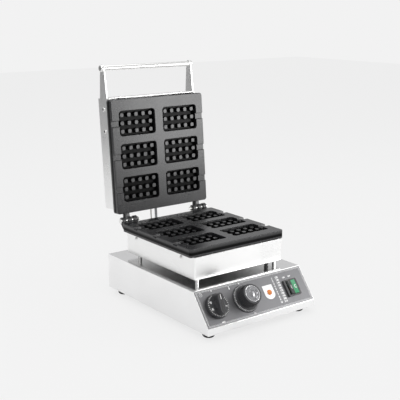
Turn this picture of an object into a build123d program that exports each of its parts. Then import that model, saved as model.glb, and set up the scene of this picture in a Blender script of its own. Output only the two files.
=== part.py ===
from build123d import *
import math
import os

# Six-waffle cooker: a lidded pair of cast plates on a steel base with a control slope.
# Millimetres. X runs left to right, Y from front to back, Z up.
# While modelling, Y is 0 at the front lip. The finished parts are moved so that the
# origin lies under the middle of the whole cooker, with its lid standing open.

# Base casing
base_width = 286.0
base_depth = 374.0
foot_height = 14.0
lip_height = 14.0
deck_height = 92.0
slope_depth = 50.0
sheet = 1.2
flange_width = 14.0
vent_slots = 8
vent_pitch = 12.0
vent_width = 5.0
vent_length = 60.0
bottom_gap = 0.3

# Feet
foot_radius = 13.0
foot_round = 6.5
foot_well_radius = 4.6
foot_well = 5.0
foot_inset_x = 22.0
foot_inset_y = 28.0
foot_screw_radius = 2.0
screw_head_radius = 4.0
screw_head_height = 2.4
screw_clear = 0.25
seat_gap = 0.05

# Cooking plates
plate_width = 251.0
plate_depth = 257.0
plate_front = 81.5
plate_corner = 6.0
lower_plate_thick = 17.5
upper_plate_thick = 18.5
plate_face_gap = 0.6
parting_height = 168.0
cavity_width = 96.0
cavity_depth = 57.0
cavity_corner = 7.0
cavity_sink = 12.6
cavity_draft = 4.0
column_pitch = 117.0
row_pitch = 74.5
columns = 2
rows = 3
peg_columns = 5
peg_rows = 3
peg_size = 11.0
peg_corner = 3.0
peg_height = 8.0
peg_draft = 8.0
stick_width = 14.5
stick_sink = 4.0
stick_draft = 12.0
edge_round = 1.0

# Heated boxes behind the plates
box_width = 235.0
box_front = 78.0
box_depth = 255.0
box_corner = 2.5
deck_gap = 11.0
cover_height = 48.0
heater_radius = 3.25
heater_margin = 34.0
heater_bend = 16.0
clamp_thick = 2.0
clamp_margin = 22.0
wool_margin = 15.0
wool_thick = 25.0
boss_thick = 11.0
boss_drop = 9.0
boss_pitch = 169.0
boss_screw_radius = 1.8
boss_screw_head = 3.4
boss_screw_head_height = 2.0

# Lid hinge
lid_angle = 94.5
hinge_back = 16.0
lug_radius = 8.5
lug_width = 8.0
lug_pitch = 15.0
lug_first = 83.5
pin_radius = 3.0
pin_clear = 0.06
pin_head_radius = 5.6
pin_head_height = 4.0
nut_height = 5.0
spacer_radius = 4.6
side_clear = 0.15
stop_clear = 0.1
stop_height = 7.0

# Handle
arm_thick = 3.0
arm_root_width = 29.0
arm_tip_width = 16.0
arm_overlap = 86.0
handle_reach = 66.0
handle_lift = 37.0
tube_radius = 6.0
tube_wall = 1.2
cap_radius = 7.5
cap_height = 5.0
plug_length = 12.0
arm_screw_radius = 2.5
arm_screw_head = 4.6
arm_screw_first = 25.0
arm_screw_pitch = 50.0

# Control slope
fascia_thick = 0.8
fascia_margin = 1.5
knob_gap = 0.8
shaft_radius = 3.0
shaft_clear = 0.06
hole_clear = 1.0
timer_x = -104.0
timer_up = 40.5
timer_skirt = 26.0
timer_skirt_height = 8.0
timer_bar_width = 15.0
timer_bar_length = 45.0
timer_bar_height = 14.0
timer_turn = -10.0
timer_bore_end = 12.0
thermo_x = -30.0
thermo_up = 40.5
thermo_skirt = 30.0
thermo_skirt_height = 8.0
thermo_grip = 22.0
thermo_grip_height = 21.0
thermo_grip_taper = 3.0
thermo_cap_radius = 17.5
thermo_cap_seat = 2.0
thermo_bore_end = 18.0
cap_rim = 12.6
cap_dish = 1.6
cap_dome_radius = 8.0
cap_dome = 2.0
cap_stand = 0.8
lamp_x = 36.0
lamp_up = 40.0
lamp_radius = 6.0
lamp_rise = 3.5
label_width = 26.0
label_height = 31.0
label_thick = 0.4
switch_x = 97.0
switch_up = 37.5
bezel_width = 36.0
bezel_height = 38.0
bezel_rise = 4.5
rocker_width = 25.0
rocker_height = 30.0
rocker_tilt = 10.0
rocker_gap = 0.6
rocker_rise = 5.5
drive_block = 40.0
drive_depth = 24.0

# Standoffs, wiring and the mains gland
standoff_radius = 4.0
standoff_x = 105.0
standoff_front = 88.0
standoff_back = 300.0
standoff_bolt = 2.5
grommet_x = 79.0
grommet_y = 84.5
grommet_radius = 3.6
lead_radius = 3.2
lead_x = 3.0
earth_radius = 1.6
earth_x = -11.0
lead_exit_low = 20.0
lead_exit_high = 22.0
lead_bend = 46.0
lead_set_in = 2.0
gland_wall = 3.0
gland_neck = 0.7
gland_length = 9.0
mains_radius = 9.0
mains_length = 16.0
mains_x = 95.0
mains_height = 26.0
terminal_size = (40.0, 18.0, 16.0)
terminal_y = 300.0

# Values worked out from the sizes above
base_bottom = foot_height
lip_top = base_bottom + lip_height
deck_z = deck_height
plate_back = plate_front + plate_depth
plate_mid_y = plate_front + plate_depth / 2
lower_plate_bottom = parting_height - lower_plate_thick
upper_face = parting_height + plate_face_gap
upper_plate_top = upper_face + upper_plate_thick
box_bottom = deck_z + deck_gap
box_back = box_front + box_depth
cover_top = upper_plate_top + cover_height
hinge_y = plate_back + hinge_back
hinge_z = parting_height + plate_face_gap / 2
handle_y = box_front - handle_reach
handle_z = upper_face + handle_lift
arm_z = (handle_z + upper_plate_top + cover_height / 2) / 2
lower_boss_z = lower_plate_bottom - boss_drop
upper_boss_z = upper_plate_top + boss_drop
lower_lead_z = lower_plate_bottom - lead_exit_low
upper_lead_z = upper_plate_top + lead_exit_high
slope_rise = deck_z - lip_top
slope_length = math.hypot(slope_depth, slope_rise)
slope_normal = (0, -slope_rise / slope_length, slope_depth / slope_length)
slope = Plane(origin=(0, 0, lip_top), x_dir=(1, 0, 0), z_dir=slope_normal)
lid_pose = Pos(0, hinge_y, hinge_z) * Rot(-lid_angle, 0, 0) * Pos(0, -hinge_y, -hinge_z)

# The lid's rearmost edge when open is the cover's front top edge, swung back.
swing = math.radians(lid_angle)
lid_back_y = (hinge_y + (box_front - hinge_y) * math.cos(swing)
              + (cover_top - hinge_z) * math.sin(swing))

# Its foremost point is the lower edge of the thermostat knob's grip.
grip_out = fascia_thick + knob_gap + thermo_skirt_height + thermo_grip_height
grip_low = thermo_up - thermo_grip + (thermo_grip_height + 1) * math.tan(
    math.radians(thermo_grip_taper))
front_y = (grip_low * slope_depth - grip_out * slope_rise) / slope_length
middle_y = (lid_back_y + front_y) / 2
to_origin = Pos(0, -middle_y, 0)


# General shapes

def block(x0, x1, y0, y1, z0, z1):
    return Pos((x0 + x1) / 2, (y0 + y1) / 2, (z0 + z1) / 2) * Box(x1 - x0, y1 - y0, z1 - z0)


def upright(x, y, z0, z1, radius):
    return Pos(x, y, (z0 + z1) / 2) * Cylinder(radius, z1 - z0)


def along_x(x0, x1, y, z, radius):
    return Pos((x0 + x1) / 2, y, z) * Rot(0, 90, 0) * Cylinder(radius, x1 - x0)


def along_y(x, y0, y1, z, radius):
    return Pos(x, (y0 + y1) / 2, z) * Rot(90, 0, 0) * Cylinder(radius, y1 - y0)


def outline(points):
    # A flat shape with its corners in anticlockwise order, so it is always raised forwards.
    area = sum(a[0] * b[1] - b[0] * a[1] for a, b in zip(points, points[1:] + points[:1]))
    return Polygon(*(points if area > 0 else points[::-1]), align=None)


def side_profile(points, x0, x1):
    return extrude(Plane.YZ.offset(x0) * outline(points), amount=x1 - x0)


def on_slope(x, up, out=0.0):
    return slope * Pos(x, up, out)


def standing(x, up, out0, out1, radius):
    return on_slope(x, up, (out0 + out1) / 2) * Cylinder(radius, out1 - out0)


def rounded_box(width, depth, height, corner, x, y, z):
    shape = extrude(RectangleRounded(width, depth, corner), amount=height)
    return Pos(x, y, z) * shape


def frustum(low_width, low_depth, top_width, top_depth, corner, height):
    low = RectangleRounded(low_width, low_depth, corner)
    top = Pos(0, 0, height) * RectangleRounded(top_width, top_depth, corner)
    return loft([low, top], ruled=True)


def joined(shapes):
    return Compound([solid for shape in shapes for solid in shape.solids()])


# Base casing

def casing_profile(inset, low):
    # Front lip, control slope, deck and back, moved inwards by the inset.
    foot_y = inset * slope_rise / slope_length
    foot_z = lip_top - inset * slope_depth / slope_length
    lip = foot_z + (inset - foot_y) * slope_rise / slope_depth
    brow = foot_y + (deck_z - inset - foot_z) * slope_depth / slope_rise
    return [(inset, low), (inset, lip), (brow, deck_z - inset),
            (base_depth - inset, deck_z - inset), (base_depth - inset, low)]


def drive_holes(out0, out1):
    holes = [standing(timer_x, timer_up, out0, out1, shaft_radius + hole_clear),
             standing(thermo_x, thermo_up, out0, out1, shaft_radius + hole_clear),
             standing(lamp_x, lamp_up, out0, out1, lamp_radius - hole_clear),
             on_slope(switch_x, switch_up, (out0 + out1) / 2)
             * Box(bezel_width - 4 * sheet, bezel_height - 4 * sheet, out1 - out0)]
    return holes


def standoff_places():
    return [(side * standoff_x, y) for side in (-1, 1) for y in (standoff_front, standoff_back)]


def foot_places():
    half = base_width / 2 - foot_inset_x
    return [(side * half, y) for side in (-1, 1)
            for y in (foot_inset_y, base_depth - foot_inset_y)]


def bottom_screw_places():
    half = base_width / 2 - sheet - flange_width / 2
    thirds = [base_depth * share for share in (0.25, 0.5, 0.75)]
    return [(side * half, y) for side in (-1, 1) for y in thirds]


def base_shell():
    half = base_width / 2
    outer = side_profile(casing_profile(0, base_bottom), -half, half)
    hollow = side_profile(casing_profile(sheet, base_bottom - 1), -half + sheet, half - sheet)
    shell = outer - hollow
    flange_z = base_bottom + sheet
    for side in (-1, 1):
        edge = side * (half - sheet)
        lip = edge - side * flange_width
        shell += block(min(edge, lip), max(edge, lip), 3 * sheet, base_depth - 3 * sheet,
                       flange_z, flange_z + sheet)
    cuts = drive_holes(-3 * sheet, sheet)
    cuts += [upright(x, y, deck_z - 2 * sheet, deck_z + 1, standoff_bolt + bottom_gap)
             for x, y in standoff_places()]
    cuts += [upright(grommet_x, grommet_y, deck_z - 2 * sheet, deck_z + 1, grommet_radius)]
    cuts += [along_y(mains_x, base_depth - 2 * sheet, base_depth + 1,
                     base_bottom + mains_height, mains_radius - 2 * sheet)]
    cuts += [upright(x, y, base_bottom, flange_z + 2 * sheet, foot_screw_radius + screw_clear)
             for x, y in bottom_screw_places()]
    for cut in cuts:
        shell -= cut
    return shell


def bottom_plate():
    half = base_width / 2 - sheet - bottom_gap
    plate = block(-half, half, sheet + bottom_gap, base_depth - sheet - bottom_gap,
                  base_bottom, base_bottom + sheet)
    slot = extrude(SlotOverall(vent_length, vent_width), amount=4 * sheet, both=True)
    start = -vent_pitch * (vent_slots - 1) / 2
    for number in range(vent_slots):
        x = start + number * vent_pitch
        for y in (base_depth * 0.35, base_depth * 0.65):
            plate -= Pos(x, y, base_bottom) * Rot(0, 0, 90) * slot
    for x, y in foot_places() + bottom_screw_places():
        plate -= upright(x, y, base_bottom - 1, base_bottom + 2 * sheet,
                         foot_screw_radius + screw_clear)
    return plate


def bottom_screws():
    def screw(x, y):
        seat = base_bottom - seat_gap
        head = upright(x, y, seat - screw_head_height, seat, screw_head_radius)
        return head + upright(x, y, seat, base_bottom + 4 * sheet, foot_screw_radius)
    return joined(screw(x, y) for x, y in bottom_screw_places())


def rubber_feet():
    def foot(x, y):
        body = Cylinder(foot_radius, foot_height)
        body = fillet(body.edges().group_by(Axis.Z)[0], radius=foot_round)
        body = Pos(x, y, foot_height / 2) * body
        body -= upright(x, y, -1, foot_well, foot_well_radius)
        return body - upright(x, y, 0, foot_height + 1, foot_screw_radius + screw_clear)
    return joined(foot(x, y) for x, y in foot_places())


def foot_screws():
    def screw(x, y):
        seat = foot_well - seat_gap
        head = upright(x, y, seat - screw_head_height, seat, screw_head_radius)
        return head + upright(x, y, seat, base_bottom + 5 * sheet, foot_screw_radius)
    return joined(screw(x, y) for x, y in foot_places())


# Control slope

def fascia():
    width = base_width - 2 * fascia_margin
    height = slope_length - 2 * fascia_margin
    plate = on_slope(0, slope_length / 2, fascia_thick / 2) * Box(width, height, fascia_thick)
    for hole in drive_holes(-sheet, 2 * sheet):
        plate -= hole
    return plate


def knob_shaft(x, up, reach):
    return standing(x, up, -drive_depth / 2, reach, shaft_radius)


def drive_body(x, up, size):
    top = -sheet
    body = on_slope(x, up, top - drive_depth / 2 - 2 * sheet) * Box(size, size, drive_depth)
    bush = standing(x, up, top - 2 * sheet, top, 2 * shaft_radius)
    bore = standing(x, up, -drive_depth / 2 - 2 * sheet, 1, shaft_radius + shaft_clear)
    return body + bush - bore


def timer_knob():
    start = fascia_thick + knob_gap
    skirt = on_slope(timer_x, timer_up, start) * extrude(Circle(timer_skirt),
                                                         amount=timer_skirt_height, taper=8)
    bar = extrude(RectangleRounded(timer_bar_width, timer_bar_length, timer_bar_width / 2.2),
                  amount=timer_bar_height + 1, taper=5)
    hub = extrude(Circle(timer_bar_width * 0.8), amount=timer_bar_height / 2, taper=10)
    seat = start + timer_skirt_height - 1
    grip = on_slope(timer_x, timer_up, seat) * Rot(0, 0, timer_turn) * (bar + hub)
    bore = standing(timer_x, timer_up, 0, start + timer_bore_end, shaft_radius + shaft_clear)
    return skirt + grip - bore


def thermo_knob():
    start = fascia_thick + knob_gap
    skirt = on_slope(thermo_x, thermo_up, start) * extrude(Circle(thermo_skirt),
                                                           amount=thermo_skirt_height, taper=30)
    top = start + thermo_skirt_height + thermo_grip_height
    grip = on_slope(thermo_x, thermo_up, start + thermo_skirt_height - 1) * extrude(
        Circle(thermo_grip), amount=thermo_grip_height + 1, taper=thermo_grip_taper)
    seat = standing(thermo_x, thermo_up, top - thermo_cap_seat, top + 1,
                    thermo_cap_radius + bottom_gap)
    bore = standing(thermo_x, thermo_up, 0, start + thermo_bore_end, shaft_radius + shaft_clear)
    return skirt + grip - seat - bore


def thermo_cap():
    # A bright disc with a dished middle and a low dome inside the dish.
    top = fascia_thick + knob_gap + thermo_skirt_height + thermo_grip_height
    rise = thermo_cap_seat + cap_stand
    disc = Pos(0, 0, rise / 2) * Cylinder(thermo_cap_radius, rise)
    disc = chamfer(disc.edges().group_by(Axis.Z)[-1], length=cap_stand * 0.7)
    dish = Pos(0, 0, rise - cap_dish / 2) * Cone(cap_rim - cap_dish, cap_rim, cap_dish)
    ball_radius = (cap_dome_radius ** 2 + cap_dome ** 2) / (2 * cap_dome)
    floor = rise - cap_dish
    ball = Pos(0, 0, floor + cap_dome - ball_radius) * Sphere(ball_radius)
    dome = ball & (Pos(0, 0, floor + cap_dome) * Cylinder(cap_dome_radius + 1, 2 * cap_dome))
    return on_slope(thermo_x, thermo_up, top - thermo_cap_seat) * (disc - dish + dome)


def lamp_lens():
    rim = standing(lamp_x, lamp_up, fascia_thick + label_thick, fascia_thick + label_thick + 1,
                   lamp_radius)
    ball_radius = (lamp_radius ** 2 + lamp_rise ** 2) / (2 * lamp_rise)
    centre = fascia_thick + label_thick + 1 + lamp_rise - ball_radius
    dome = on_slope(lamp_x, lamp_up, centre) * Sphere(ball_radius)
    keep = standing(lamp_x, lamp_up, fascia_thick + label_thick + 1, 4 * lamp_rise, lamp_radius)
    return rim + (dome & keep)


def lamp_body():
    neck = standing(lamp_x, lamp_up, -drive_depth, fascia_thick + label_thick,
                    lamp_radius - 2 * hole_clear)
    return neck + standing(lamp_x, lamp_up, -3 * sheet, -sheet, lamp_radius + hole_clear)


def lamp_label():
    half = label_width / 2
    top = label_height * 0.52
    shoulder = -label_height * 0.2
    sides = Polyline((-half, shoulder), (-half, top), (half, top), (half, shoulder))
    tip = ThreePointArc((half, shoulder), (0, top - label_height), (-half, shoulder))
    face = make_face([*sides.edges(), tip])
    label = on_slope(lamp_x, lamp_up, fascia_thick) * extrude(face, amount=label_thick)
    return label - standing(lamp_x, lamp_up, 0, 3, lamp_radius - hole_clear)


def switch_housing():
    opening_width = rocker_width + 2 * rocker_gap
    opening_height = rocker_height + 2 * rocker_gap
    rim = extrude(RectangleRounded(bezel_width, bezel_height, 3), amount=bezel_rise, taper=8)
    rim = on_slope(switch_x, switch_up, fascia_thick) * rim
    body = on_slope(switch_x, switch_up, (fascia_thick - drive_depth) / 2) * Box(
        bezel_width - 4 * sheet - 2 * bottom_gap, bezel_height - 4 * sheet - 2 * bottom_gap,
        drive_depth + fascia_thick)
    well_floor = -drive_depth / 2
    well = on_slope(switch_x, switch_up, (bezel_rise * 2 + well_floor) / 2) * Box(
        opening_width, opening_height, bezel_rise * 2 - well_floor)
    return rim + body - well


def switch_rocker():
    # The sides of the rocker are round about its pivot, so it turns freely in its well.
    pivot_out = fascia_thick
    half = rocker_width / 2
    lip = rocker_rise + 2.5
    points = [(-half, -half * 0.7), (half, -half * 0.7), (half, lip), (0, rocker_rise),
              (-half, lip)]
    wedge = extrude(Plane.XZ.offset(-rocker_height / 2) * outline(points),
                    amount=rocker_height)
    round_sides = Rot(90, 0, 0) * Cylinder(half + 0.2, rocker_height)
    rocker = wedge & round_sides
    return on_slope(switch_x, switch_up, pivot_out) * Rot(0, rocker_tilt, 0) * rocker


def terminal_block():
    width, depth, height = terminal_size
    z0 = base_bottom + sheet
    body = block(-width / 2, width / 2, terminal_y, terminal_y + depth, z0, z0 + height)
    for number in range(4):
        x = -width / 2 + width * (number + 0.5) / 4
        body -= along_y(x, terminal_y - 1, terminal_y + depth + 1, z0 + height / 2, 2.0)
        body -= upright(x, terminal_y + depth / 2, z0 + height - 4, z0 + height + 1, 2.4)
    return body


def mains_gland():
    z = base_bottom + mains_height
    flange = along_y(mains_x, base_depth, base_depth + 3, z, mains_radius)
    nose = along_y(mains_x, base_depth + 3, base_depth + mains_length, z, mains_radius * 0.75)
    throat = along_y(mains_x, base_depth - 5 * sheet, base_depth, z, mains_radius - 3 * sheet)
    nut = along_y(mains_x, base_depth - 6 * sheet, base_depth - sheet, z, mains_radius)
    bore = along_y(mains_x, base_depth - 7 * sheet, base_depth + mains_length + 1, z,
                   mains_radius * 0.4)
    return flange + nose + throat + nut - bore


# Heated boxes

def open_box(z0, z1, hollow_low, hollow_high):
    y = box_front + box_depth / 2
    outer = rounded_box(box_width, box_depth, z1 - z0, box_corner, 0, y, z0)
    hollow = rounded_box(box_width - 2 * sheet, box_depth - 2 * sheet, hollow_high - hollow_low,
                         box_corner - sheet, 0, y, hollow_low)
    return outer - hollow


def lower_housing():
    box = open_box(box_bottom, lower_plate_bottom, box_bottom + sheet, lower_plate_bottom + 1)
    for x, y in standoff_places():
        box -= upright(x, y, box_bottom - 1, box_bottom + 2 * sheet, standoff_bolt + bottom_gap)
    box -= upright(grommet_x, grommet_y, box_bottom - 1, box_bottom + 2 * sheet, grommet_radius)
    for x, radius in leads():
        box -= gland_hole(x, radius, lower_lead_z)
    for side in (-1, 1):
        for y in side_boss_places():
            edge = side * box_width / 2
            box -= along_x(edge - 2 * sheet, edge + 2 * sheet, y, lower_boss_z,
                           boss_screw_radius + screw_clear)
    return box


def upper_cover():
    box = open_box(upper_plate_top, cover_top, upper_plate_top - 1, cover_top - sheet)
    for side in (-1, 1):
        for y in arm_screw_places():
            edge = side * box_width / 2
            box -= along_x(edge - 2 * sheet, edge + 2 * sheet, y, arm_z,
                           arm_screw_radius + screw_clear)
    for x, radius in leads():
        box -= gland_hole(x, radius, upper_lead_z)
    for x in end_boss_places():
        for edge in (box_front, box_back):
            box -= along_y(x, edge - 2 * sheet, edge + 2 * sheet, upper_boss_z,
                           boss_screw_radius + screw_clear)
    return box


def side_boss_places():
    return [plate_mid_y - boss_pitch / 2, plate_mid_y + boss_pitch / 2]


def end_boss_places():
    return [-boss_pitch / 2, boss_pitch / 2]


def side_boss(side, y):
    # A cast foot inside the side wall of the lower box, drilled for the wall's screw.
    wall = box_width / 2 - sheet - bottom_gap
    body = block(wall - boss_thick, wall, y - boss_thick / 2, y + boss_thick / 2,
                 lower_boss_z - boss_thick / 2, lower_plate_bottom + 1)
    body -= along_x(wall - boss_thick - 1, wall + 1, y, lower_boss_z,
                    boss_screw_radius + screw_clear)
    return body if side > 0 else mirror(body, Plane.YZ)


def end_boss(x, front):
    # The same inside the front and back walls of the cover.
    wall = box_front + sheet + bottom_gap if front else box_back - sheet - bottom_gap
    inner = wall + boss_thick if front else wall - boss_thick
    body = block(x - boss_thick / 2, x + boss_thick / 2, min(wall, inner), max(wall, inner),
                 upper_plate_top - 1, upper_boss_z + boss_thick / 2)
    return body - along_y(x, min(wall, inner) - 1, max(wall, inner) + 1, upper_boss_z,
                          boss_screw_radius + screw_clear)


def wall_screw():
    # Drawn pointing along X with its head on the outside of a wall at X zero.
    shank = along_x(-sheet - boss_thick * 0.8, seat_gap, 0, 0, boss_screw_radius)
    head = along_x(seat_gap, seat_gap + boss_screw_head_height, 0, 0, boss_screw_head)
    return shank + fillet(head.edges().sort_by(Axis.X)[-1], radius=boss_screw_head_height / 2)


def housing_screws():
    edge = box_width / 2
    screws = [Pos(edge, y, lower_boss_z) * wall_screw() for y in side_boss_places()]
    return joined(screws + [mirror(screw, Plane.YZ) for screw in screws])


def cover_screws():
    screws = []
    for x in end_boss_places():
        screws.append(Pos(x, box_back, upper_boss_z) * Rot(0, 0, 90) * wall_screw())
        screws.append(Pos(x, box_front, upper_boss_z) * Rot(0, 0, -90) * wall_screw())
    return lid_pose * joined(screws)


def wool(z0, z1):
    half = box_width / 2 - sheet - wool_margin
    front = box_front + sheet + wool_margin
    back = box_back - sheet - wool_margin
    return block(-half, half, front, back, z0, z1)


def heater_path(z):
    # A tubular element in three passes, with its cold ends at the back.
    left = -box_width / 2 + heater_margin
    right = box_width / 2 - heater_margin
    front = plate_front + heater_margin
    back = plate_back - heater_margin
    third = (right - left) / 3
    points = [(left, back + 16, z), (left, front, z), (left + third, front, z),
              (left + third, back - 30, z), (right - third, back - 30, z),
              (right - third, front, z), (right, front, z), (right, back + 16, z)]
    return FilletPolyline(*points, radius=heater_bend)


def heater(z):
    path = heater_path(z)
    start = Plane(origin=path @ 0, z_dir=path % 0)
    return sweep(start * Circle(heater_radius), path=path)


def clamp_sheet(z):
    half = box_width / 2 - clamp_margin
    return block(-half, half, plate_front + clamp_margin, plate_back - clamp_margin,
                 z, z + clamp_thick)


def standoffs():
    def post(x, y):
        tube = upright(x, y, deck_z, box_bottom, standoff_radius)
        return tube - upright(x, y, deck_z - 1, box_bottom + 1, standoff_bolt + bottom_gap)
    return joined(post(x, y) for x, y in standoff_places())


def standoff_bolts():
    def bolt(x, y):
        top = box_bottom + sheet + seat_gap
        low = deck_z - sheet - seat_gap
        head = upright(x, y, top, top + screw_head_height, screw_head_radius)
        nut = upright(x, y, low - 2 * screw_head_height, low, screw_head_radius)
        return head + nut + upright(x, y, low, top, standoff_bolt)
    return joined(bolt(x, y) for x, y in standoff_places())


def wiring_bush():
    z0 = deck_z - 3 * sheet
    z1 = box_bottom + 3 * sheet
    tube = upright(grommet_x, grommet_y, z0, z1, grommet_radius - 0.4)
    collar_low = upright(grommet_x, grommet_y, deck_z, deck_z + 2, grommet_radius + 1)
    collar_high = upright(grommet_x, grommet_y, box_bottom - 6, box_bottom, grommet_radius + 1)
    bore = upright(grommet_x, grommet_y, z0 - 1, z1 + 1, grommet_radius * 0.5)
    return tube + collar_low + collar_high - bore


# Cooking plates: the lower one has its face up, the upper one its face down.

def cavity_centres():
    xs = [(number - (columns - 1) / 2) * column_pitch for number in range(columns)]
    ys = [plate_mid_y + (number - (rows - 1) / 2) * row_pitch for number in range(rows)]
    return [(x, y) for x in xs for y in ys]


def cavity_cutter():
    # A pocket that narrows as it goes down, less the pegs that stand on its floor.
    narrowing = 2 * cavity_sink * math.tan(math.radians(cavity_draft))
    floor_width = cavity_width - narrowing
    floor_depth = cavity_depth - narrowing
    pocket = frustum(floor_width, floor_depth, cavity_width, cavity_depth, cavity_corner,
                     cavity_sink)
    pocket = Pos(0, 0, -cavity_sink) * pocket
    pocket += extrude(RectangleRounded(cavity_width, cavity_depth, cavity_corner), amount=1.0)
    peg_top = peg_size - 2 * peg_height * math.tan(math.radians(peg_draft))
    peg = frustum(peg_size, peg_size, peg_top, peg_top, peg_corner, peg_height)
    step_x = floor_width / peg_columns
    step_y = floor_depth / peg_rows
    for column in range(peg_columns):
        for row in range(peg_rows):
            x = (column - (peg_columns - 1) / 2) * step_x
            y = (row - (peg_rows - 1) / 2) * step_y
            pocket -= Pos(x, y, -cavity_sink) * peg
    return pocket


def stick_cutter():
    half = stick_width / 2
    run_in = stick_sink * math.tan(math.radians(stick_draft))
    points = [(-half, 1), (-half, 0), (-half + run_in, -stick_sink), (half - run_in, -stick_sink),
              (half, 0), (half, 1)]
    length = plate_width / 2 - column_pitch / 2
    return extrude(Plane.YZ * outline(points), amount=length)


def plate_block(thick):
    slab = rounded_box(plate_width, plate_depth, thick, plate_corner, 0, plate_mid_y, -thick)
    slab = chamfer(slab.faces().sort_by(Axis.Z)[-1].edges(), length=edge_round)
    cavity = cavity_cutter()
    stick = stick_cutter()
    for x, y in cavity_centres():
        slab -= Pos(x, y, 0) * cavity
        side = 0 if x > 0 else 180
        slab -= Pos(x, y, 0) * Rot(0, 0, side) * stick
    return slab


def lug_profile(root_low, root_high):
    # The outline of a hinge lug: a round eye on the hinge line, joined to the plate's back.
    eye = Pos(hinge_y, hinge_z) * Circle(lug_radius)
    root = [(plate_back - 1, root_low), (plate_back - 1, root_high)]
    near = hinge_z + (lug_radius if root_high > hinge_z else -lug_radius) * 0.98
    far = hinge_y + lug_radius * 0.15
    web = outline([root[0], root[1], (hinge_y - lug_radius * 0.6, root_high),
                   (far, near), (hinge_y, hinge_z)])
    return eye + web


def heel_profile():
    # A heel that meets the back of the lower plate when the lid is open, drawn in that
    # position and turned back to where it lies with the lid closed.
    y0, y1 = plate_back + stop_clear - hinge_y, -pin_radius - 1
    z0, z1 = stop_height - lug_radius, 1 - lug_radius
    corners = [(y0, z0), (y0, z1), (y1, z1), (y1, z0)]
    cosine, sine = math.cos(swing), math.sin(swing)
    turned = [(hinge_y + y * cosine - z * sine, hinge_z + y * sine + z * cosine)
              for y, z in corners]
    return outline(turned)


def lug(centre_x, profile):
    start = centre_x - lug_width / 2
    body = extrude(Plane.YZ.offset(start) * profile, amount=lug_width)
    bore = along_x(start - 1, start + lug_width + 1, hinge_y, hinge_z, pin_radius + pin_clear)
    return body - bore


def lower_plate():
    plate = Pos(0, 0, parting_height) * plate_block(lower_plate_thick)
    profile = lug_profile(parting_height - 2, lower_plate_bottom + 1)
    for side in (-1, 1):
        for number in (0, 2):
            plate += lug(side * (lug_first + number * lug_pitch), profile)
        for y in side_boss_places():
            plate += side_boss(side, y)
    return plate


def upper_plate():
    slab = plate_block(upper_plate_thick)
    plate = Pos(0, 2 * plate_mid_y, upper_face) * Rot(180, 0, 0) * slab
    profile = lug_profile(upper_face + 2, upper_plate_top - 1) + heel_profile()
    for side in (-1, 1):
        plate += lug(side * (lug_first + lug_pitch), profile)
        for front in (True, False):
            plate += end_boss(side * boss_pitch / 2, front)
    return lid_pose * plate


def hinge_pin(side):
    inner = lug_first - lug_width / 2
    outer = lug_first + 2 * lug_pitch + lug_width / 2
    start = inner - nut_height - 3
    shank = along_x(start, outer, hinge_y, hinge_z, pin_radius)
    head = along_x(outer + side_clear, outer + side_clear + pin_head_height, hinge_y, hinge_z,
                   pin_head_radius)
    neck = along_x(outer, outer + side_clear, hinge_y, hinge_z, pin_radius)
    pin = shank + neck + fillet(head.edges().sort_by(Axis.X)[-1], radius=1.2)
    return pin if side > 0 else mirror(pin, Plane.YZ)


def hinge_nuts():
    inner = lug_first - lug_width / 2 - side_clear
    start = inner - nut_height

    def nut():
        body = Pos(start, hinge_y, hinge_z) * Rot(0, 90, 0) * extrude(
            RegularPolygon(pin_head_radius, 6), amount=nut_height)
        return body - along_x(start - 1, inner + 1, hinge_y, hinge_z, pin_radius)
    right = nut()
    return joined([mirror(right, Plane.YZ), right])


def hinge_spacers():
    def sleeve(x0, x1):
        body = along_x(x0, x1, hinge_y, hinge_z, spacer_radius)
        return body - along_x(x0 - 1, x1 + 1, hinge_y, hinge_z, pin_radius + pin_clear)
    rings = []
    for number in range(2):
        x0 = lug_first + number * lug_pitch + lug_width / 2 + side_clear
        x1 = lug_first + (number + 1) * lug_pitch - lug_width / 2 - side_clear
        rings += [sleeve(x0, x1), sleeve(-x1, -x0)]
    return joined(rings)


# Handle

def arm_screw_places():
    first = box_front + arm_screw_first
    return [first, first + arm_screw_pitch]


def handle_arm(side):
    inner = box_width / 2
    back = box_front + arm_overlap
    tip_low = handle_z - arm_tip_width / 2
    root_low = arm_z - arm_root_width / 2
    blade = outline([(handle_y, tip_low), (box_front, root_low), (back, root_low),
                     (back, root_low + arm_root_width * 0.8),
                     (box_front + 4, root_low + arm_root_width),
                     (handle_y, tip_low + arm_tip_width)])
    eye = Pos(handle_y, handle_z) * Circle(arm_tip_width / 2)
    arm = extrude(Plane.YZ.offset(inner) * (blade + eye), amount=arm_thick)
    for y in arm_screw_places():
        arm -= along_x(inner - 1, inner + arm_thick + 1, y, arm_z,
                       arm_screw_radius + screw_clear)
    arm -= along_x(inner - 1, inner + arm_thick + 1, handle_y, handle_z,
                   arm_screw_radius + screw_clear)
    return lid_pose * (arm if side > 0 else mirror(arm, Plane.YZ))


def arm_screws():
    inner = box_width / 2 - 3 * sheet
    outer = box_width / 2 + arm_thick + seat_gap

    def screw(y):
        shank = along_x(inner, outer, y, arm_z, arm_screw_radius)
        head = along_x(outer, outer + screw_head_height, y, arm_z, arm_screw_head)
        return shank + fillet(head.edges().sort_by(Axis.X)[-1], radius=1.4)
    right = [screw(y) for y in arm_screw_places()]
    return lid_pose * joined(right + [mirror(shape, Plane.YZ) for shape in right])


def handle_tube():
    half = box_width / 2
    tube = along_x(-half, half, handle_y, handle_z, tube_radius)
    return lid_pose * (tube - along_x(-half - 1, half + 1, handle_y, handle_z,
                                      tube_radius - tube_wall))


def handle_plugs():
    half = box_width / 2

    def plug():
        body = along_x(half - plug_length, half, handle_y, handle_z, tube_radius - tube_wall)
        return body - along_x(half - plug_length - 1, half + 1, handle_y, handle_z,
                              arm_screw_radius + screw_clear)
    right = plug()
    return lid_pose * joined([mirror(right, Plane.YZ), right])


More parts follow.
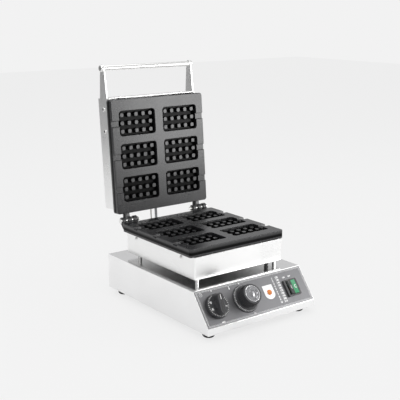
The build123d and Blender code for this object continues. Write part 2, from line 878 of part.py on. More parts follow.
def handle_caps():
    half = box_width / 2
    outer = half + arm_thick + seat_gap

    def cap():
        head = along_x(outer, outer + cap_height, handle_y, handle_z, cap_radius)
        head = fillet(head.edges().sort_by(Axis.X)[-1], radius=2.5)
        return head + along_x(half - plug_length + 2, outer, handle_y, handle_z,
                              arm_screw_radius)
    right = cap()
    return lid_pose * joined([mirror(right, Plane.YZ), right])


# Leads to the lid: out of the lower box's back, up behind the hinge and into the cover.

def leads():
    return [(lead_x, lead_radius), (earth_x, earth_radius)]


def gland(x, radius, z):
    outer = radius + gland_wall
    collar = along_y(x, box_back, box_back + gland_length, z, outer)
    neck = along_y(x, box_back - 3 * sheet, box_back, z, outer * gland_neck)
    bore = along_y(x, box_back - 4 * sheet, box_back + gland_length + 1, z, radius)
    return collar + neck - bore


def gland_hole(x, radius, z):
    neck = (radius + gland_wall) * gland_neck
    return along_y(x, box_back - 2 * sheet, box_back + 1, z, neck + screw_clear)


def lower_glands():
    return joined(gland(x, radius, lower_lead_z) for x, radius in leads())


def upper_glands():
    return lid_pose * joined(gland(x, radius, upper_lead_z) for x, radius in leads())


def in_open_lid(x, y, z):
    spot = (lid_pose * Pos(x, y, z)).position
    return (spot.X, spot.Y, spot.Z)


def lead_tube(x, radius):
    # Straight back out of the lower gland, one wide turn up, and straight into the cover.
    start_y = box_back + lead_set_in
    low = in_open_lid(x, start_y, upper_lead_z)
    lower = in_open_lid(x, start_y + gland_length, upper_lead_z)
    lean = (lower[1] - low[1]) / (lower[2] - low[2])
    corner = (x, low[1] + (lower_lead_z - low[2]) * lean, lower_lead_z)
    path = FilletPolyline((x, start_y, lower_lead_z), corner, low, radius=lead_bend)
    start = Plane(origin=path @ 0, z_dir=path % 0)
    tube = sweep(start * Circle(radius), path=path)
    share = tube.volume / (math.pi * radius ** 2 * path.length)
    print("lead volume over section times length", round(share, 4), "ends", start_y, low)
    return tube


def box_parts():
    lower_clamp_z = lower_plate_bottom - 2 * heater_radius - clamp_thick
    upper_clamp_z = upper_plate_top + 2 * heater_radius
    return {
        "lower_heater": heater(lower_plate_bottom - heater_radius),
        "lower_clamp_sheet": clamp_sheet(lower_clamp_z),
        "lower_wool": wool(lower_clamp_z - wool_thick, lower_clamp_z),
        "upper_heater": lid_pose * heater(upper_plate_top + heater_radius),
        "upper_clamp_sheet": lid_pose * clamp_sheet(upper_clamp_z),
        "upper_wool": lid_pose * wool(upper_clamp_z + clamp_thick,
                                      upper_clamp_z + clamp_thick + wool_thick),
    }


def all_parts():
    timer_reach = fascia_thick + knob_gap + timer_bore_end
    thermo_reach = fascia_thick + knob_gap + thermo_bore_end
    parts = {
        "base_shell": base_shell(),
        "bottom_plate": bottom_plate(),
        "bottom_screws": bottom_screws(),
        "rubber_feet": rubber_feet(),
        "foot_screws": foot_screws(),
        "control_fascia": fascia(),
        "timer_mechanism": drive_body(timer_x, timer_up, drive_block),
        "timer_shaft": knob_shaft(timer_x, timer_up, timer_reach),
        "timer_knob": timer_knob(),
        "thermostat_body": drive_body(thermo_x, thermo_up, drive_block),
        "thermostat_shaft": knob_shaft(thermo_x, thermo_up, thermo_reach),
        "thermostat_knob": thermo_knob(),
        "thermostat_cap": thermo_cap(),
        "lamp_lens": lamp_lens(),
        "lamp_body": lamp_body(),
        "lamp_label": lamp_label(),
        "switch_housing": switch_housing(),
        "switch_rocker": switch_rocker(),
        "terminal_block": terminal_block(),
        "mains_gland": mains_gland(),
        "standoffs": standoffs(),
        "standoff_bolts": standoff_bolts(),
        "wiring_bush": wiring_bush(),
        "lower_housing": lower_housing(),
        "lower_plate": lower_plate(),
        "upper_plate": upper_plate(),
        "upper_cover": lid_pose * upper_cover(),
        "hinge_pin_left": hinge_pin(-1),
        "hinge_pin_right": hinge_pin(1),
        "hinge_nuts": hinge_nuts(),
        "hinge_spacers": hinge_spacers(),
        "handle_arm_left": handle_arm(-1),
        "handle_arm_right": handle_arm(1),
        "arm_screws": arm_screws(),
        "handle_tube": handle_tube(),
        "handle_plugs": handle_plugs(),
        "handle_caps": handle_caps(),
        "lower_glands": lower_glands(),
        "upper_glands": upper_glands(),
        "lid_lead": lead_tube(lead_x, lead_radius),
        "earth_lead": lead_tube(earth_x, earth_radius),
        "housing_screws": housing_screws(),
        "cover_screws": cover_screws(),
    }
    parts.update(box_parts())
    return parts


os.makedirs("parts", exist_ok=True)
for name, shape in all_parts().items():
    export_step(to_origin * shape, f"parts/{name}.step")
print("origin moved back by", round(middle_y, 3), "mm")
print("hinge line y", round(hinge_y - middle_y, 3), "z", round(hinge_z, 3))
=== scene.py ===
# %% [markdown]
# # A waffle maker with its lid open
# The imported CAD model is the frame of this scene. Its nodes keep their places and shapes.
# Each node gets a material, and small pieces are added on top: print, marks, screw slots and leads.

# %% Frame
import bpy
import math
from mathutils import Matrix, Vector


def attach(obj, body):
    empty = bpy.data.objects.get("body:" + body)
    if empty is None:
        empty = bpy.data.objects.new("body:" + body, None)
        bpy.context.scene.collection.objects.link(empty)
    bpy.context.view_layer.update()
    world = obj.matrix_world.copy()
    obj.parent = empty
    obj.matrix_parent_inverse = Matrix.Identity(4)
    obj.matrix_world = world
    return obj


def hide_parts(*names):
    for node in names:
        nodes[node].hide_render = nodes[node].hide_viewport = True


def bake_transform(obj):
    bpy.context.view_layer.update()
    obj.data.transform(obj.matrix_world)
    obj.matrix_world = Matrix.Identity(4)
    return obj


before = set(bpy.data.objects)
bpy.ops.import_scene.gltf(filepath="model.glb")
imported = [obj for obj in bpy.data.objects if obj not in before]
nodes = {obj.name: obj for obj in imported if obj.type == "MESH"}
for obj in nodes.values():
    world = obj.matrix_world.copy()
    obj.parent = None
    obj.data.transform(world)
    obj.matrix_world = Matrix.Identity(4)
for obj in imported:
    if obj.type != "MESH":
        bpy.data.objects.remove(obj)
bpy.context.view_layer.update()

# %% [markdown]
# ## Places
# Lengths below are in millimetres from the front lip, as on the real machine.
# The shared frame has its origin further back, under the middle of the whole part.

# %% Places
MM = 0.001
FRONT = -0.215387
HINGE_Y, HINGE_Z = 354.5, 168.3
LID_ANGLE = math.radians(94.5)

# The control slope starts above the lip and climbs to the deck. A printed sheet lies on it.
LIP_TOP = 28.0
SLOPE_RUN, SLOPE_RISE = 50.0, 64.0
SLOPE_LENGTH = math.hypot(SLOPE_RUN, SLOPE_RISE)
RISE, RUN = SLOPE_RISE / SLOPE_LENGTH, SLOPE_RUN / SLOPE_LENGTH
SHEET_HALF, SHEET_MARGIN = 141.5, 1.5
FACE = 0.8

# The cooking faces when the lid is closed, and the two steel boxes around the heaters.
LOWER_FACE_Z, UPPER_FACE_Z = 168.0, 168.6
BOX_HALF, BOX_FRONT, BOX_BACK = 117.5, 78.0, 333.0


def at(x, y, z):
    return Vector((x * MM, y * MM + FRONT, z * MM))


def panel(x, up, out=0.0, turn=0.0):
    """The place on the control slope: x across, up the slope, out from the sheet."""
    basis = Matrix(((1, 0, 0), (0, RUN, -RISE), (0, RISE, RUN))).to_4x4()
    spot = at(x, up * RUN - out * RISE, LIP_TOP + up * RISE + out * RUN)
    return Matrix.Translation(spot) @ basis @ Matrix.Rotation(math.radians(turn), 4, "Z")


def swung(matrix):
    """A place given with the lid closed, moved to where it is with the lid open."""
    hinge = Matrix.Translation(at(0, HINGE_Y, HINGE_Z))
    return hinge @ Matrix.Rotation(-LID_ANGLE, 4, "X") @ hinge.inverted() @ matrix


def facing(spot, direction):
    """A place whose own Z points along the direction."""
    turn = Vector(direction).to_track_quat("Z", "Y").to_matrix().to_4x4()
    return Matrix.Translation(spot) @ turn


# %% [markdown]
# ## Shapes
# Each shape is a primitive that is put in place in its mesh, so every object stays at the origin.

# %% Shapes
TEXT_RISE = 0.05
TEXT_WEIGHT = 0.035
SMOOTH_BELOW = math.radians(35)


def settled(matrix):
    """Puts the active object's mesh where the matrix says and leaves the object at the origin."""
    obj = bpy.context.object
    obj.data.transform(matrix)
    obj.matrix_world = Matrix.Identity(4)
    return obj


def bar(matrix, width, depth, height):
    bpy.ops.mesh.primitive_cube_add(size=1)
    return settled(matrix @ Matrix.Diagonal((width * MM, depth * MM, height * MM, 1)))


def rod(matrix, radius, height, sides):
    bpy.ops.mesh.primitive_cone_add(vertices=sides, radius1=radius * MM, depth=height * MM,
                                    radius2=radius * MM)
    return settled(matrix)


def ring(matrix, radius, thick, sides=96):
    bpy.ops.mesh.primitive_torus_add(major_radius=radius * MM, minor_radius=thick * MM,
                                     major_segments=sides, minor_segments=16)
    return settled(matrix)


def words(text, matrix, size):
    """Printed text, a little thicker than the plain font and barely raised."""
    bpy.ops.object.text_add()
    obj = bpy.context.object
    obj.data.body = text
    obj.data.size = size * MM
    obj.data.extrude = TEXT_RISE * MM
    obj.data.offset = TEXT_WEIGHT * size * MM
    obj.data.align_x = "CENTER"
    obj.data.align_y = "CENTER"
    obj.data.resolution_u = 4
    bpy.ops.object.convert(target="MESH")
    return settled(matrix)


def piece(name, shapes, body, finish):
    """Joins the shapes into one named piece with its finish, and lets it ride on a body."""
    bpy.ops.object.select_all(action="DESELECT")
    for shape in shapes:
        shape.select_set(True)
    bpy.context.view_layer.objects.active = shapes[0]
    if len(shapes) > 1:
        bpy.ops.object.join()
    obj = bpy.context.object
    obj.name = name
    bpy.ops.object.shade_smooth_by_angle(angle=SMOOTH_BELOW)
    obj.data.materials.clear()
    obj.data.materials.append(finish)
    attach(obj, body)


# %% [markdown]
# ## Shared surface effects
# Three node groups are used by most finishes: slow variation, brushed grain and worn edges.

# %% Shared effects

def new_group(name, inputs, outputs):
    """An empty node group with its inputs and its number outputs."""
    tree = bpy.data.node_groups.new(name, "ShaderNodeTree")
    for label, kind, value in inputs:
        socket = tree.interface.new_socket(label, in_out="INPUT", socket_type=kind)
        if value is not None:
            socket.default_value = value
    for label in outputs:
        tree.interface.new_socket(label, in_out="OUTPUT", socket_type="NodeSocketFloat")
    return tree, tree.nodes.new("NodeGroupInput"), tree.nodes.new("NodeGroupOutput")


def node(tree, kind, **inputs):
    """A new node with some of its inputs set; an underscore in a name stands for a space."""
    made = tree.nodes.new(kind)
    for label, value in inputs.items():
        made.inputs[label.replace("_", " ")].default_value = value
    return made


def maths(tree, operation, first, second):
    """A math node; each operand is a socket or a plain number."""
    made = tree.nodes.new("ShaderNodeMath")
    made.operation = operation
    for index, value in enumerate((first, second)):
        if isinstance(value, (int, float)):
            made.inputs[index].default_value = value
        else:
            tree.links.new(value, made.inputs[index])
    return made.outputs[0]


def make_variation():
    """Slow cloudy change plus fine specks, both from 0 to 1 around a half."""
    tree, enter, leave = new_group("slow_variation", [("Vector", "NodeSocketVector", None),
                                                      ("Scale", "NodeSocketFloat", 25.0)],
                                   ["Cloud", "Speck"])
    cloud = node(tree, "ShaderNodeTexNoise", Detail=4.0, Roughness=0.55)
    speck = node(tree, "ShaderNodeTexNoise", Detail=2.0, Roughness=0.6)
    tree.links.new(enter.outputs["Vector"], cloud.inputs["Vector"])
    tree.links.new(enter.outputs["Vector"], speck.inputs["Vector"])
    tree.links.new(enter.outputs["Scale"], cloud.inputs["Scale"])
    tree.links.new(maths(tree, "MULTIPLY", enter.outputs["Scale"], 60.0), speck.inputs["Scale"])
    tree.links.new(cloud.outputs["Fac"], leave.inputs["Cloud"])
    tree.links.new(speck.outputs["Fac"], leave.inputs["Speck"])
    return tree


def make_grain():
    """Long fine scratches: noise that is stretched along one direction."""
    tree, enter, leave = new_group("brushed_grain", [("Vector", "NodeSocketVector", None),
                                                     ("Stretch", "NodeSocketVector", None)],
                                   ["Height"])
    stretch = tree.nodes.new("ShaderNodeVectorMath")
    stretch.operation = "MULTIPLY"
    fine = node(tree, "ShaderNodeTexNoise", Scale=1.0, Detail=3.0, Roughness=0.7)
    tree.links.new(enter.outputs["Vector"], stretch.inputs[0])
    tree.links.new(enter.outputs["Stretch"], stretch.inputs[1])
    tree.links.new(stretch.outputs[0], fine.inputs["Vector"])
    tree.links.new(fine.outputs["Fac"], leave.inputs["Height"])
    return tree


def make_edges():
    """Close to 1 where the surface turns sharply within the radius, and 0 on flat faces."""
    tree, enter, leave = new_group("worn_edges", [("Radius", "NodeSocketFloat", 0.001)], ["Edge"])
    bevel = tree.nodes.new("ShaderNodeBevel")
    shape = tree.nodes.new("ShaderNodeNewGeometry")
    dot = tree.nodes.new("ShaderNodeVectorMath")
    dot.operation = "DOT_PRODUCT"
    tree.links.new(enter.outputs["Radius"], bevel.inputs["Radius"])
    tree.links.new(bevel.outputs["Normal"], dot.inputs[0])
    tree.links.new(shape.outputs["Normal"], dot.inputs[1])
    parted = maths(tree, "SUBTRACT", 1.0, dot.outputs["Value"])
    scaled = maths(tree, "MULTIPLY", parted, 6.0)
    tree.links.new(maths(tree, "MINIMUM", scaled, 1.0), leave.inputs["Edge"])
    return tree


variation, grain, edges = make_variation(), make_grain(), make_edges()


def use(tree, shared, **inputs):
    """One of the shared node groups, placed in a material."""
    made = tree.nodes.new("ShaderNodeGroup")
    made.node_tree = shared
    for label, value in inputs.items():
        made.inputs[label].default_value = value
    return made


def mixed(tree, share, low, high):
    """A colour between two; each is a socket or a plain colour."""
    made = tree.nodes.new("ShaderNodeMix")
    made.data_type = "RGBA"
    tree.links.new(share, made.inputs[0])
    for index, value in ((6, low), (7, high)):
        if isinstance(value, tuple):
            made.inputs[index].default_value = (*value, 1)
        else:
            tree.links.new(value, made.inputs[index])
    return made.outputs[2]


def start(name):
    """A new material, its node tree, its Principled shader and its object coordinates."""
    material = bpy.data.materials.new(name)
    material.use_nodes = True
    tree = material.node_tree
    shader = tree.nodes["Principled BSDF"]
    where = tree.nodes.new("ShaderNodeTexCoord").outputs["Object"]
    return material, tree, shader, where


def add_variation(tree, where, scale):
    made = use(tree, variation, Scale=scale)
    tree.links.new(where, made.inputs["Vector"])
    return made


def ranged(tree, value, low, high):
    """A socket that runs from 0 to 1, spread between two numbers."""
    return maths(tree, "ADD", maths(tree, "MULTIPLY", value, high - low), low)


def held(tree, value):
    """A number kept between 0 and 1."""
    return maths(tree, "MINIMUM", maths(tree, "MAXIMUM", value, 0.0), 1.0)


def bumped(tree, shader, height, strength, depth, radius):
    """A bump on top of normals that are rounded at the edges."""
    bump = node(tree, "ShaderNodeBump", Strength=strength, Distance=depth)
    soft = node(tree, "ShaderNodeBevel", Radius=radius)
    tree.links.new(height, bump.inputs["Height"])
    tree.links.new(soft.outputs["Normal"], bump.inputs["Normal"])
    tree.links.new(bump.outputs["Normal"], shader.inputs["Normal"])


def steel(name, colour, rough, stretch, radius=0.0006, grain_depth=0.08):
    """Sheet or turned steel with brushed grain, cloudy roughness and brighter edges."""
    material, tree, shader, where = start(name)
    slow = add_variation(tree, where, 12.0)
    fine = use(tree, grain, Stretch=stretch)
    tree.links.new(where, fine.inputs["Vector"])
    darker = tuple(part * 0.88 for part in colour)
    base = mixed(tree, slow.outputs["Cloud"], darker, colour)
    edge = use(tree, edges, Radius=radius * 1.5)
    worn = mixed(tree, edge.outputs["Edge"], base, tuple(min(1, part * 1.12) for part in colour))
    tree.links.new(worn, shader.inputs["Base Color"])
    shader.inputs["Metallic"].default_value = 1.0
    cloudy = ranged(tree, slow.outputs["Cloud"], rough * 0.75, rough * 1.25)
    scratched = maths(tree, "MULTIPLY", ranged(tree, fine.outputs["Height"], 0.7, 1.3), cloudy)
    tree.links.new(scratched, shader.inputs["Roughness"])
    bumped(tree, shader, fine.outputs["Height"], grain_depth, 0.0003, radius)
    return material


def moulded(name, colour, rough, texture=900.0, depth=0.12, radius=0.0006, coat=0.0):
    """Moulded plastic or rubber: fine pebbled skin, cloudy roughness, slightly pale edges."""
    material, tree, shader, where = start(name)
    slow = add_variation(tree, where, 20.0)
    skin = node(tree, "ShaderNodeTexVoronoi", Scale=texture)
    tree.links.new(where, skin.inputs["Vector"])
    paler = tuple(min(1, part * 1.25 + 0.01) for part in colour)
    base = mixed(tree, slow.outputs["Cloud"], colour, paler)
    edge = use(tree, edges, Radius=radius * 1.5)
    rubbed = mixed(tree, edge.outputs["Edge"], base,
                   tuple(min(1, part * 1.6 + 0.02) for part in colour))
    tree.links.new(rubbed, shader.inputs["Base Color"])
    tree.links.new(ranged(tree, slow.outputs["Speck"], rough * 0.85, rough * 1.15),
                   shader.inputs["Roughness"])
    shader.inputs["Coat Weight"].default_value = coat
    bumped(tree, shader, skin.outputs["Distance"], depth, 0.0002, radius)
    return material


# %% [markdown]
# ## Finishes

# %% Finishes
deck_steel = steel("deck_steel", (0.84, 0.84, 0.84), 0.15, (30, 1600, 1600))
box_steel = steel("box_steel", (0.86, 0.86, 0.855), 0.30, (30, 1400, 1400))
zinc = steel("zinc", (0.72, 0.72, 0.70), 0.28, (400, 400, 400), 0.0004)
turned = steel("turned_steel", (0.78, 0.78, 0.77), 0.18, (900, 90, 90), 0.0004)
bright = steel("bright_trim", (0.86, 0.86, 0.87), 0.10, (300, 300, 300), 0.0003, 0.02)
smoked = steel("smoked_trim", (0.30, 0.30, 0.31), 0.12, (300, 300, 300), 0.0003, 0.02)
heater_steel = steel("heater_steel", (0.35, 0.33, 0.31), 0.45, (300, 300, 300))
black = moulded("black_plastic", (0.016, 0.016, 0.018), 0.42)
black_gloss = moulded("black_gloss", (0.012, 0.012, 0.013), 0.24, 500.0, 0.03, coat=0.3)
rubber = moulded("foot_rubber", (0.014, 0.014, 0.014), 0.62, 1400.0, 0.2)
nylon = moulded("gland_nylon", (0.03, 0.03, 0.032), 0.48)
sleeve = moulded("lead_sleeve", (0.40, 0.41, 0.42), 0.5, 2500.0, 0.3, 0.0002)
pale_sleeve = moulded("pale_sleeve", (0.62, 0.62, 0.58), 0.45, 2500.0, 0.2, 0.0002)
white_print = moulded("white_print", (0.80, 0.80, 0.79), 0.5, 1500.0, 0.04, 0.0001)
# Near-black, for the crosses on the screw heads: painted shade in the recesses.
painted_recess_shade = moulded("painted_recess_shade", (0.01, 0.01, 0.01), 0.7, 1500.0, 0.05, 0.0001)
wool = moulded("mineral_wool", (0.66, 0.62, 0.52), 0.9, 300.0, 1.0)


# Metres: how far below a cooking face the painted shade starts, and how much further it goes.
PAINTED_SHADE_FROM, PAINTED_SHADE_DEPTH = 0.0045, 0.0088


def coating(name, face, outwards):
    """Dark non-stick coating on a casting: satin, finely grained, paler where it is thin.
    It is painted duller and blacker with depth below the cooking face: painted shade in the
    cavities."""
    material, tree, shader, where = start(name)
    slow = add_variation(tree, where, 18.0)
    grit = node(tree, "ShaderNodeTexNoise", Scale=900.0, Detail=5.0, Roughness=0.65)
    tree.links.new(where, grit.inputs["Vector"])
    above = tree.nodes.new("ShaderNodeVectorMath")
    above.operation = "DOT_PRODUCT"
    above.inputs[1].default_value = outwards
    tree.links.new(where, above.inputs[0])
    # Painted shade: the deeper below the cooking face, the blacker and less shiny the coating is
    # painted, for shade in the cavities.
    depth = maths(tree, "SUBTRACT", face.dot(outwards) - PAINTED_SHADE_FROM, above.outputs["Value"])
    inside = maths(tree, "LESS_THAN", depth, PAINTED_SHADE_DEPTH)
    share = held(tree, maths(tree, "MULTIPLY", depth, 250.0))
    painted_shade = maths(tree, "MULTIPLY", share, inside)
    base = mixed(tree, slow.outputs["Cloud"], (0.006, 0.006, 0.007), (0.013, 0.013, 0.014))
    edge = use(tree, edges, Radius=0.0012)
    thin = mixed(tree, edge.outputs["Edge"], base, (0.05, 0.05, 0.052))
    tree.links.new(mixed(tree, painted_shade, thin, (0.002, 0.002, 0.002)), shader.inputs["Base Color"])
    tree.links.new(ranged(tree, slow.outputs["Cloud"], 0.22, 0.32), shader.inputs["Roughness"])
    tree.links.new(ranged(tree, painted_shade, 0.56, 0.06), shader.inputs["Specular IOR Level"])
    bumped(tree, shader, grit.outputs["Fac"], 0.14, 0.0003, 0.0009)
    return material


def printed_sheet():
    """The panel's grey sheet: metallic paint with fine flakes under a satin coat."""
    material, tree, shader, where = start("panel_sheet")
    slow = add_variation(tree, where, 9.0)
    flakes = node(tree, "ShaderNodeTexVoronoi", Scale=3500.0)
    tree.links.new(where, flakes.inputs["Vector"])
    base = mixed(tree, slow.outputs["Cloud"], (0.13, 0.13, 0.135), (0.17, 0.17, 0.175))
    tree.links.new(base, shader.inputs["Base Color"])
    shader.inputs["Metallic"].default_value = 0.75
    tree.links.new(ranged(tree, flakes.outputs["Distance"], 0.30, 0.44), shader.inputs["Roughness"])
    bumped(tree, shader, flakes.outputs["Distance"], 0.05, 0.0002, 0.0003)
    return material


def clear_colour(name, colour, glow, rough):
    """Tinted see-through plastic that is lit from behind a little."""
    material, tree, shader, where = start(name)
    slow = add_variation(tree, where, 120.0)
    ribs = node(tree, "ShaderNodeTexNoise", Scale=700.0, Detail=1.0)
    tree.links.new(where, ribs.inputs["Vector"])
    deep = tuple(part * 0.6 for part in colour)
    tint = mixed(tree, slow.outputs["Cloud"], deep, colour)
    tree.links.new(tint, shader.inputs["Base Color"])
    tree.links.new(tint, shader.inputs["Emission Color"])
    shader.inputs["Emission Strength"].default_value = glow
    tree.links.new(ranged(tree, slow.outputs["Speck"], rough * 0.8, rough * 1.2),
                   shader.inputs["Roughness"])
    shader.inputs["Coat Weight"].default_value = 0.6
    shader.inputs["Subsurface Weight"].default_value = 0.2
    shader.inputs["Subsurface Scale"].default_value = 0.003
    bumped(tree, shader, ribs.outputs["Fac"], 0.06, 0.0002, 0.0006)
    return material


# Painted shade: left of this line the rocker is painted near-black, as if its raised left part were
# in shade.
ROCKER_SHADE_SPLIT_X = 0.0965


def rocker_colour_and_shade():
    """Glossy rocker that glows green at the right; its raised left part is painted near-black as
    painted shade.
    """
    material = clear_colour("rocker_green", (0.01, 0.30, 0.11), 0.22, 0.12)
    tree = material.node_tree
    shader = tree.nodes["Principled BSDF"]
    across = tree.nodes.new("ShaderNodeSeparateXYZ")
    tree.links.new(tree.nodes["Texture Coordinate"].outputs["Object"], across.inputs[0])
    past = maths(tree, "SUBTRACT", across.outputs["X"], ROCKER_SHADE_SPLIT_X)
    share = held(tree, maths(tree, "MULTIPLY", past, 900.0))
    tint = shader.inputs["Base Color"].links[0].from_socket
    both = mixed(tree, share, (0.006, 0.010, 0.008), tint)
    tree.links.new(both, shader.inputs["Base Color"])
    tree.links.new(both, shader.inputs["Emission Color"])
    return material


lower_cast = coating("lower_coating", at(0, 200.0, LOWER_FACE_Z), Vector((0, 0, 1)))
open_face = swung(Matrix.Translation(at(0, 200.0, UPPER_FACE_Z)))
upper_cast = coating("upper_coating", open_face.translation,
                     open_face.to_3x3() @ Vector((0, 0, -1)))
sheet = printed_sheet()
amber = clear_colour("lamp_amber", (0.72, 0.22, 0.02), 0.12, 0.12)
green = rocker_colour_and_shade()

finishes = {
    "base_shell": deck_steel, "bottom_plate": deck_steel, "standoffs": turned,
    "bottom_screws": zinc, "foot_screws": zinc, "standoff_bolts": zinc, "arm_screws": turned,
    "housing_screws": turned, "cover_screws": turned, "hinge_nuts": zinc,
    "rubber_feet": rubber, "wiring_bush": rubber, "control_fascia": sheet,
    "timer_knob": black, "thermostat_knob": black, "switch_housing": black_gloss,
    "lamp_body": nylon, "timer_mechanism": nylon, "thermostat_body": nylon,
    "switch_rocker": green, "lamp_lens": amber, "lamp_label": white_print,
    "thermostat_cap": smoked, "timer_shaft": turned, "thermostat_shaft": turned,
    "hinge_pin_left": turned, "hinge_pin_right": turned, "hinge_spacers": turned,
    "handle_tube": turned, "lower_housing": box_steel, "upper_cover": box_steel,
    "handle_arm_left": box_steel, "handle_arm_right": box_steel,
    "lower_clamp_sheet": box_steel, "upper_clamp_sheet": box_steel,
    "lower_plate": lower_cast, "upper_plate": upper_cast, "handle_plugs": nylon,
    "handle_caps": turned, "mains_gland": nylon, "lower_glands": nylon, "upper_glands": nylon,
    "terminal_block": nylon, "lid_lead": sleeve, "earth_lead": pale_sleeve,
    "lower_heater": heater_steel, "upper_heater": heater_steel,
    "lower_wool": wool, "upper_wool": wool,
}
for name, obj in nodes.items():
    obj.data.materials.clear()
    obj.data.materials.append(finishes[name])

# %% [markdown]
# ## Print on the panel
# A double pale line runs round the sheet. A table of plain numbers stands left of the switch,
# a small clock and a thermometer mark the two knobs, and a dot marks where each scale is read.

# %% Panel print
INK = 0.03


def strip(x0, x1, up0, up1):
    middle = panel((x0 + x1) / 2, (up0 + up1) / 2, FACE + INK / 2)
    return bar(middle, x1 - x0, up1 - up0, INK)


def frame_line(inset, thick):
    half, top = SHEET_HALF - inset, SLOPE_LENGTH - SHEET_MARGIN - inset
    low = SHEET_MARGIN + inset
    return [strip(-half, half, low, low + thick), strip(-half, half, top - thick, top),
            strip(-half, -half + thick, low, top), strip(half - thick, half, low, top)]


piece("panel_border", frame_line(2.0, 0.5) + frame_line(4.0, 0.3), "base",
      white_print)

TABLE_TOP, TABLE_STEP, TABLE_SIZE = 67.0, 6.0, 5.6
rows = []
for number in range(10):
    up = TABLE_TOP - number * TABLE_STEP
    rows.append(words(str(number + 1), panel(56.5, up, FACE + INK), TABLE_SIZE))
    rows.append(words(str(120 + 10 * number), panel(69.0, up, FACE + INK), TABLE_SIZE))
piece("number_table", rows, "base", white_print)

marks = [words("MIN", panel(-101.8, 6.6, FACE + INK), 4.6),
         words("°C", panel(-20.0, 6.0, FACE + INK), 4.6),
         words("ON", panel(88.0, 63.0, FACE + INK), 4.4),
         words("OFF", panel(103.5, 63.0, FACE + INK), 4.4),
         rod(panel(-101.7, 74.1, FACE + INK / 2), 1.3, INK, 32),
         rod(panel(-30.0, 74.6, FACE + INK / 2), 1.3, INK, 32)]
piece("panel_words", marks, "base", white_print)


def clock_sign(x, up):
    spot = panel(x, up, FACE + 0.1)
    return [ring(spot, 3.4, 0.25, 48),
            bar(spot @ Matrix.Translation((0, 1.1 * MM, 0)), 0.5, 2.4, 0.3),
            bar(spot @ Matrix.Translation((0.8 * MM, 0, 0)), 1.8, 0.5, 0.3)]


def heat_sign(x, up):
    spot = panel(x, up, FACE + 0.1)
    return [bar(spot @ Matrix.Translation((0, 1.4 * MM, 0)), 1.0, 5.0, 0.3),
            rod(spot @ Matrix.Translation((0, -1.8 * MM, 0)), 1.5, 0.3, 32)]


piece("panel_signs", clock_sign(-130.0, 71.0) + heat_sign(-57.7, 71.0), "base",
      white_print)

# %% [markdown]
# ## Marks on the knobs
# The scales are printed on the skirts and turn with the knobs.

# %% Timer scale
TIMER_X, KNOB_UP = -104.0, 40.5
KNOB_START = FACE + 0.8
SKIRT = 8.0
SKIRT_TOP = KNOB_START + SKIRT
TIMER_START, TIMER_STEP = 60, 9.6
TIMER_SET = -10.0


def around(x, radius, angle, out, lean=0.0):
    """A place on a knob's skirt, with its own up pointing away from the knob's middle.
    The angle runs clockwise from the top of the panel."""
    turn = Matrix.Rotation(math.radians(-angle), 4, "Z")
    tip = Matrix.Rotation(math.radians(-lean), 4, "X")
    return panel(x, KNOB_UP, out) @ turn @ Matrix.Translation((0, radius * MM, 0)) @ tip


timer_scale = []
for index in range(30):
    length = 4.2 if index % 5 == 0 else 2.4
    spot = around(TIMER_X, 24.2 - length / 2, TIMER_START + index * TIMER_STEP, SKIRT_TOP + 0.02)
    timer_scale.append(bar(spot, 0.7, length, 0.08))
for index in range(6):
    angle = TIMER_START + 5 * TIMER_STEP * index
    spot = around(TIMER_X, 17.6, angle, SKIRT_TOP + 0.03)
    timer_scale.append(words(str(5 * index), spot, 5.0))
piece("timer_scale", timer_scale, "timer_knob", white_print)

grip_top = SKIRT_TOP - 1 + 15.0
grip_face = [bar(panel(TIMER_X, KNOB_UP, grip_top + 0.03, TIMER_SET), 8.6, 37.0, 0.06)]
piece("timer_grip_face", grip_face, "timer_knob", black_gloss)
pointer = [bar(panel(TIMER_X, KNOB_UP, grip_top + 0.08, TIMER_SET)
               @ Matrix.Translation((0, 12.5 * MM, 0)), 1.2, 10.0, 0.06)]
piece("timer_pointer", pointer, "timer_knob", white_print)

# %% [markdown]
# The thermostat's scale lies on the cone of its skirt, so its marks lean with the cone.

# %% Thermostat scale
THERMO_X, THERMO_SKIRT = -30.0, 30.0
CONE_INWARD = math.tan(math.radians(30.0))
CONE_LEAN = math.degrees(math.atan2(SKIRT, SKIRT * CONE_INWARD))
THERMO_START, THERMO_STEP = 150, 7.5
cone_mid = THERMO_SKIRT - SKIRT / 2 * CONE_INWARD
cone_out = KNOB_START + SKIRT / 2
thermo_scale = []
for index in range(29):
    length = 4.4 if index % 4 == 0 else 2.6
    spot = around(THERMO_X, cone_mid + 0.05, THERMO_START + index * THERMO_STEP,
                  cone_out + 0.05, CONE_LEAN)
    thermo_scale.append(bar(spot, 0.8, length, 0.12))
piece("thermostat_scale", thermo_scale, "thermostat_knob", white_print)

# %% [markdown]
# The cap of the thermostat has a thin bright rim, and its grip has fine ribs.

# %% Thermostat cap
GRIP_HEIGHT, CAP_STAND = 21.0, 0.8
cap_top = SKIRT_TOP + GRIP_HEIGHT + CAP_STAND
rim = [ring(panel(THERMO_X, KNOB_UP, cap_top - 0.2), 16.6, 0.35)]
piece("cap_rim", rim, "thermostat_knob", bright)
ribs = []
for step in range(36):
    spot = around(THERMO_X, 21.75, step * 10.0, SKIRT_TOP + 10.0)
    ribs.append(rod(spot, 0.7, 16.0, 12))
piece("grip_ribs", ribs, "thermostat_knob", black)

# %% [markdown]
# ## Switch and lamp
# The rocker carries a raised bar and a ring. The lamp sits in a thin bright rim.

